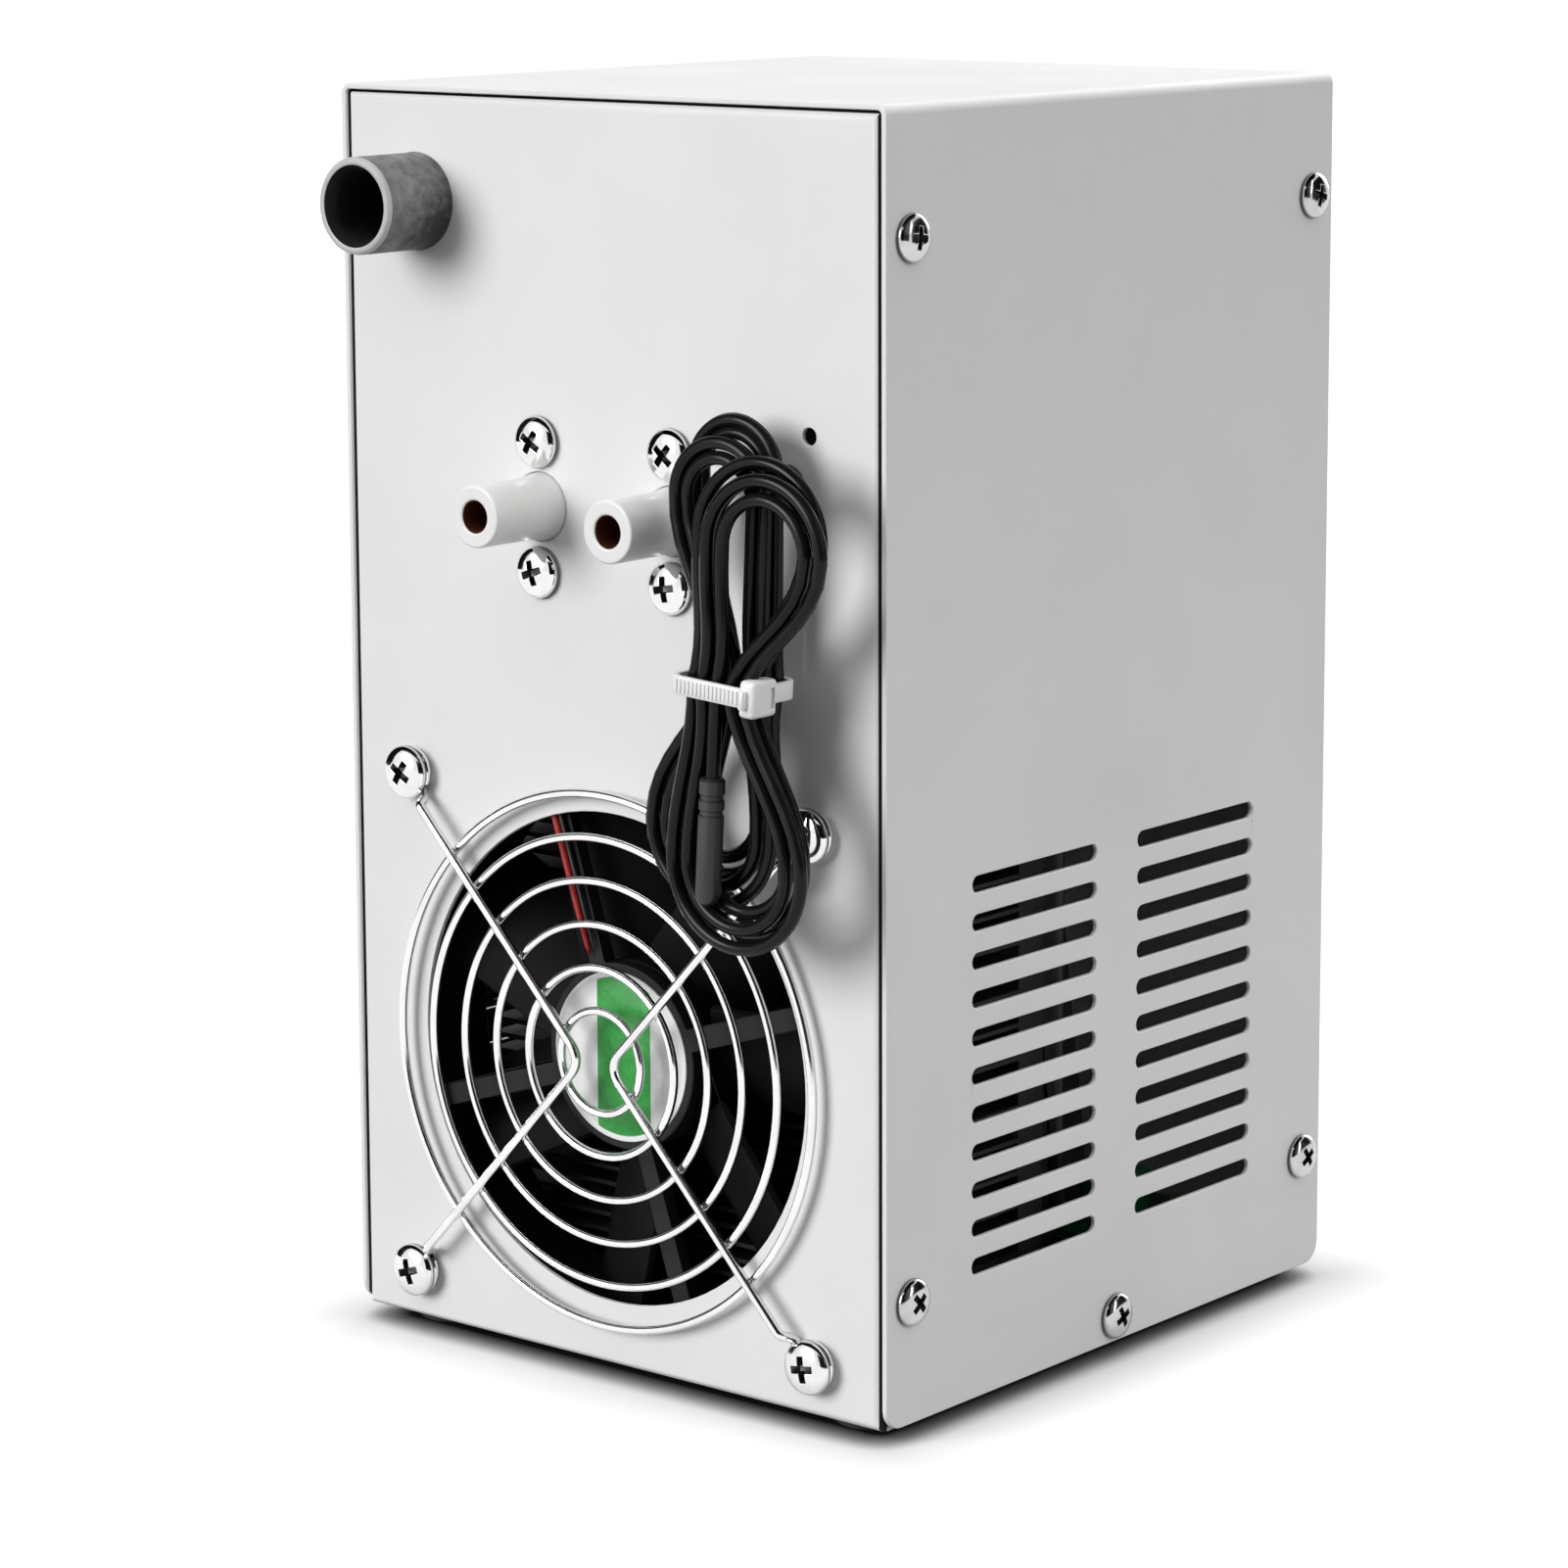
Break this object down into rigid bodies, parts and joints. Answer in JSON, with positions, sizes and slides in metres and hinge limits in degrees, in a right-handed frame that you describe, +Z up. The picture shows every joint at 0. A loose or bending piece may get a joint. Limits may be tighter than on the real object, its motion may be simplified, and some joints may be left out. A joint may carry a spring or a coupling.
{
  "type": "aquarium chiller",
  "caption": "Upright sheet-metal aquarium chiller with a guarded fan, hose stubs, a power inlet, a rear thermostat and a tied probe lead.",
  "frame": {"origin": "on the floor under the feet, below the middle of the bounding box without the free sensor lead, so halfway from the hose stubs' mouths to the thermostat's buttons and halfway across the case", "axes": "+Z up; -Y out of the fan panel, the way the hoses and the plug pull off; +Y out of the front panel with the thermostat; +X to the right of a viewer who faces the fan panel"},
  "size_m": [0.1446, 0.1767, 0.258],
  "materials": {
    "powder_white": "fine white powder coat",
    "screw_nickel": "bright nickel plate",
    "guard_wire": "bright plated wire",
    "zinc": "dull zinc plate",
    "rubber_black": "matte black rubber",
    "fan_black": "black moulded plastic",
    "shaft_steel": "ground steel",
    "magnet": "dark bonded ferrite",
    "bearing_bronze": "sintered bronze",
    "stator": "laminations and varnished windings",
    "label_green": "plain printed film, green band on white",
    "wire_red": "red wire insulation",
    "wire_black": "black wire insulation",
    "aluminium": "plain extruded and milled aluminium",
    "ceramic": "white ceramic faces with a white sealed edge",
    "foam": "dark closed-cell foam",
    "hose_clear": "milky silicone hose",
    "stub_white": "white moulded plastic",
    "sleeve_grey": "light grey moulded plastic",
    "black_plastic": "black moulded plastic",
    "board_green": "green solder mask",
    "standoff": "plain brass",
    "relay": "blue moulded plastic",
    "capacitor": "aluminium can in a dark sleeve",
    "terminal": "green moulded plastic",
    "window_smoke": "dark red tinted acrylic",
    "digits": "black display block with unlit digits",
    "key_grey": "grey moulded plastic",
    "key_red": "red moulded plastic",
    "cord_black": "black cord jacket",
    "tie_white": "white nylon"
  },
  "bodies": {
    "case": {"chassis": "powder_white", "cover": "powder_white", "cover_screws": "screw_nickel", "rivet_nuts": "zinc", "rubber_feet": "rubber_black", "fan_frame": "fan_black", "fan_bearings": "bearing_bronze", "fan_stator": "stator", "fan_label": "label_green", "fan_guard": "guard_wire", "guard_screws": "screw_nickel", "fan_lead_red": "wire_red", "fan_lead_black": "wire_black", "heat_sink": "aluminium", "sink_brackets": "zinc", "bracket_screws": "zinc", "thermo_modules": "ceramic", "module_gasket": "foam", "module_lead_red": "wire_red", "module_lead_black": "wire_black", "water_block": "aluminium", "block_nipples": "zinc", "clamp_screws": "zinc", "insulation_cap": "foam", "inner_hoses": "hose_clear", "hose_clips": "zinc", "hose_stub_left": "stub_white", "hose_stub_right": "stub_white", "stub_screws": "screw_nickel", "stub_nuts": "zinc", "power_sleeve": "sleeve_grey", "power_socket": "black_plastic", "socket_nut": "zinc", "power_lead": "wire_black", "power_board": "board_green", "board_standoffs": "standoff", "board_relay": "relay", "board_capacitor": "capacitor", "board_terminals": "terminal", "thermostat_case": "black_plastic", "thermostat_clips": "black_plastic", "display_window": "window_smoke", "digit_display": "digits", "control_board": "board_green", "key_switches": "zinc", "control_lead": "wire_black", "cord_grommet": "rubber_black", "sensor_lead": "cord_black", "sensor_cord": "cord_black", "sensor_hank": "cord_black", "cable_tie": "tie_white", "sensor_probe": "black_plastic"},
    "rotor": {"fan_rotor": "fan_black", "fan_shaft": "shaft_steel", "fan_magnet": "magnet"},
    "power_key": {"button_power": "key_red"},
    "set_key": {"button_set": "key_grey"},
    "up_key": {"button_up": "key_grey"},
    "down_key": {"button_down": "key_grey"}
  },
  "joints": [
    {"name": "fan_spin", "type": "hinge", "parent": "case", "child": "rotor", "pos_m": [0, -0.05175, 0.0663], "axis": [0, 1, 0], "continuous": true},
    {"name": "power_press", "type": "slide", "parent": "case", "child": "power_key", "axis": [0, -1, 0], "range_m": [0, 0.0008], "stiffness_N_per_m": 500, "springref_m": -0.0005},
    {"name": "set_press", "type": "slide", "parent": "case", "child": "set_key", "axis": [0, -1, 0], "range_m": [0, 0.0008], "stiffness_N_per_m": 500, "springref_m": -0.0005},
    {"name": "up_press", "type": "slide", "parent": "case", "child": "up_key", "axis": [0, -1, 0], "range_m": [0, 0.0008], "stiffness_N_per_m": 500, "springref_m": -0.0005},
    {"name": "down_press", "type": "slide", "parent": "case", "child": "down_key", "axis": [0, -1, 0], "range_m": [0, 0.0008], "stiffness_N_per_m": 500, "springref_m": -0.0005}
  ]
}
